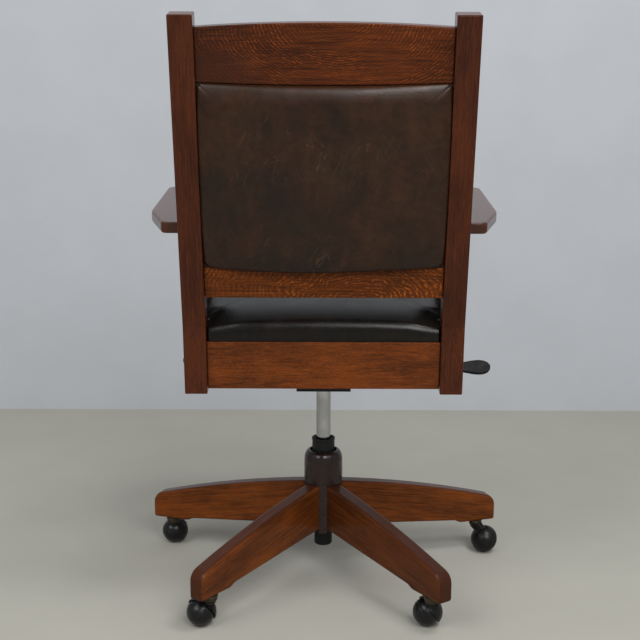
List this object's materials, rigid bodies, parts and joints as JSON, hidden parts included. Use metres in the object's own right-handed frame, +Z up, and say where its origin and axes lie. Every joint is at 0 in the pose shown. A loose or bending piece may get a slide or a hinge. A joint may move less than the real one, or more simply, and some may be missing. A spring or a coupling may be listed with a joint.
{
  "type": "desk chair",
  "caption": "Mission style swivel and tilt desk chair with an oak frame, leather padded seat and back, flat arms, gas lift and a five-leg base on ball casters.",
  "frame": {"origin": "on the floor under the middle of the chair's bounding box", "axes": "+Z up, -Y toward the chair's front, +X toward the sitter's left"},
  "size_m": [0.7162, 0.7466, 1.0533],
  "materials": {
    "stained_oak": "satin",
    "dark_leather": "satin",
    "backing_board": "matte",
    "bronze_paint": "semi-gloss",
    "black_steel": "satin",
    "black_plastic": "matte",
    "chrome": "polished",
    "zinc": "satin",
    "gunmetal": "semi-gloss",
    "aged_brass": "satin"
  },
  "bodies": {
    "base": {"base_hub": "bronze_paint", "lift_tube": "black_steel", "lift_collar": "black_plastic", "lift_cap": "black_plastic", "leg_rear_left": "stained_oak", "leg_side_left": "stained_oak", "leg_front": "stained_oak", "leg_side_right": "stained_oak", "leg_rear_right": "stained_oak", "caster_socket_rear_left": "aged_brass", "caster_socket_side_left": "aged_brass", "caster_socket_front": "aged_brass", "caster_socket_side_right": "aged_brass", "caster_socket_rear_right": "aged_brass"},
    "lift": {"lift_rod": "chrome"},
    "button": {"release_button": "zinc"},
    "mechanism": {"tilt_housing": "black_steel", "tilt_pin": "zinc"},
    "tilting": {"seat_plate": "black_steel", "tension_bolt": "zinc", "tension_spring": "zinc", "seat_board": "backing_board", "seat_cushion": "dark_leather", "back_board": "backing_board", "back_pad_front": "dark_leather", "back_pad_rear": "dark_leather", "back_post_left": "stained_oak", "back_post_right": "stained_oak", "crest_rail": "stained_oak", "lower_back_rail": "stained_oak", "rear_seat_rail": "stained_oak", "front_seat_rail": "stained_oak", "side_seat_rail_left": "stained_oak", "side_seat_rail_right": "stained_oak", "seat_ledger_left": "stained_oak", "seat_ledger_right": "stained_oak", "corner_block_left": "stained_oak", "corner_block_right": "stained_oak", "batten_front": "stained_oak", "batten_rear": "stained_oak", "arm_left": "stained_oak", "arm_right": "stained_oak", "arm_support_left": "stained_oak", "arm_support_right": "stained_oak"},
    "tension": {"tension_knob": "black_plastic"},
    "lever": {"height_lever": "black_steel", "lever_paddle": "black_plastic"},
    "lock": {"tilt_lock_rod": "black_steel", "tilt_lock_knob": "black_plastic"},
    "caster_rear_left": {"caster_hood_rear_left": "gunmetal"},
    "wheel_rear_left": {"caster_wheel_rear_left": "gunmetal"},
    "caster_side_left": {"caster_hood_side_left": "gunmetal"},
    "wheel_side_left": {"caster_wheel_side_left": "gunmetal"},
    "caster_front": {"caster_hood_front": "gunmetal"},
    "wheel_front": {"caster_wheel_front": "gunmetal"},
    "caster_side_right": {"caster_hood_side_right": "gunmetal"},
    "wheel_side_right": {"caster_wheel_side_right": "gunmetal"},
    "caster_rear_right": {"caster_hood_rear_right": "gunmetal"},
    "wheel_rear_right": {"caster_wheel_rear_right": "gunmetal"}
  },
  "joints": [
    {"name": "lift_height", "type": "slide", "parent": "base", "child": "lift", "axis": [0, 0, 1], "range_m": [-0.08, 0.02]},
    {"name": "seat_swivel", "type": "hinge", "parent": "lift", "child": "mechanism", "pos_m": [0.0044, -0.0032, 0.404], "axis": [0, 0, 1], "continuous": true},
    {"name": "seat_tilt", "type": "hinge", "parent": "mechanism", "child": "tilting", "pos_m": [0.0044, -0.0657, 0.456], "axis": [-1, 0, 0], "range_deg": [0, 12], "stiffness_Nm_per_rad": 90, "springref_deg": -40.11, "deforming": ["tension_spring"]},
    {"name": "tension_turn", "type": "hinge", "parent": "tilting", "child": "tension", "pos_m": [0.0044, -0.11723, 0.39931], "axis": [0, 0.1097, 0.994], "continuous": true},
    {"name": "lever_lift", "type": "hinge", "parent": "mechanism", "child": "lever", "pos_m": [-0.0451, -0.0032, 0.414], "axis": [0, 1, 0], "range_deg": [0, 4], "stiffness_Nm_per_rad": 6, "springref_deg": -2.86},
    {"name": "button_press", "type": "slide", "parent": "lift", "child": "button", "axis": [0, 0, -1], "range_m": [0, 0.0035]},
    {"name": "lock_slide", "type": "slide", "parent": "mechanism", "child": "lock", "axis": [-1, 0, 0], "range_m": [0, 0.012]},
    {"name": "caster_swivel_rear_left", "type": "hinge", "parent": "base", "child": "caster_rear_left", "pos_m": [0.20387, 0.26344, 0.0655], "axis": [0, 0, 1], "continuous": true},
    {"name": "wheel_spin_rear_left", "type": "hinge", "parent": "caster_rear_left", "child": "wheel_rear_left", "pos_m": [0.22263, 0.25101, 0.0254], "axis": [0.4525, 0.6828, -0.5736], "continuous": true},
    {"name": "caster_swivel_side_left", "type": "hinge", "parent": "base", "child": "caster_side_left", "pos_m": [0.31963, -0.11051, 0.0655], "axis": [0, 0, 1], "continuous": true},
    {"name": "wheel_spin_side_left", "type": "hinge", "parent": "caster_side_left", "child": "wheel_side_left", "pos_m": [0.32076, -0.13299, 0.0254], "axis": [0.8181, 0.0409, -0.5736], "continuous": true},
    {"name": "caster_swivel_front", "type": "hinge", "parent": "base", "child": "caster_front", "pos_m": [-0.00025, -0.33617, 0.0655], "axis": [0, 0, 1], "continuous": true},
    {"name": "wheel_spin_front", "type": "hinge", "parent": "caster_front", "child": "wheel_front", "pos_m": [-0.02081, -0.32703, 0.0254], "axis": [-0.3327, -0.7486, -0.5736], "continuous": true},
    {"name": "caster_swivel_side_right", "type": "hinge", "parent": "base", "child": "caster_side_right", "pos_m": [-0.31371, -0.10167, 0.0655], "axis": [0, 0, 1], "continuous": true},
    {"name": "wheel_spin_side_right", "type": "hinge", "parent": "caster_side_right", "child": "wheel_side_right", "pos_m": [-0.3328, -0.08977, 0.0254], "axis": [-0.4334, -0.6951, -0.5736], "continuous": true},
    {"name": "caster_swivel_rear_right", "type": "hinge", "parent": "base", "child": "caster_rear_right", "pos_m": [-0.18755, 0.26891, 0.0655], "axis": [0, 0, 1], "continuous": true},
    {"name": "wheel_spin_rear_right", "type": "hinge", "parent": "caster_rear_right", "child": "wheel_rear_right", "pos_m": [-0.18146, 0.24725, 0.0254], "axis": [0.7886, 0.2218, -0.5736], "continuous": true}
  ],
  "couplings": [
    {"joint": "button_press", "follows": "lever_lift", "m_per_rad": 0.0495}
  ]
}
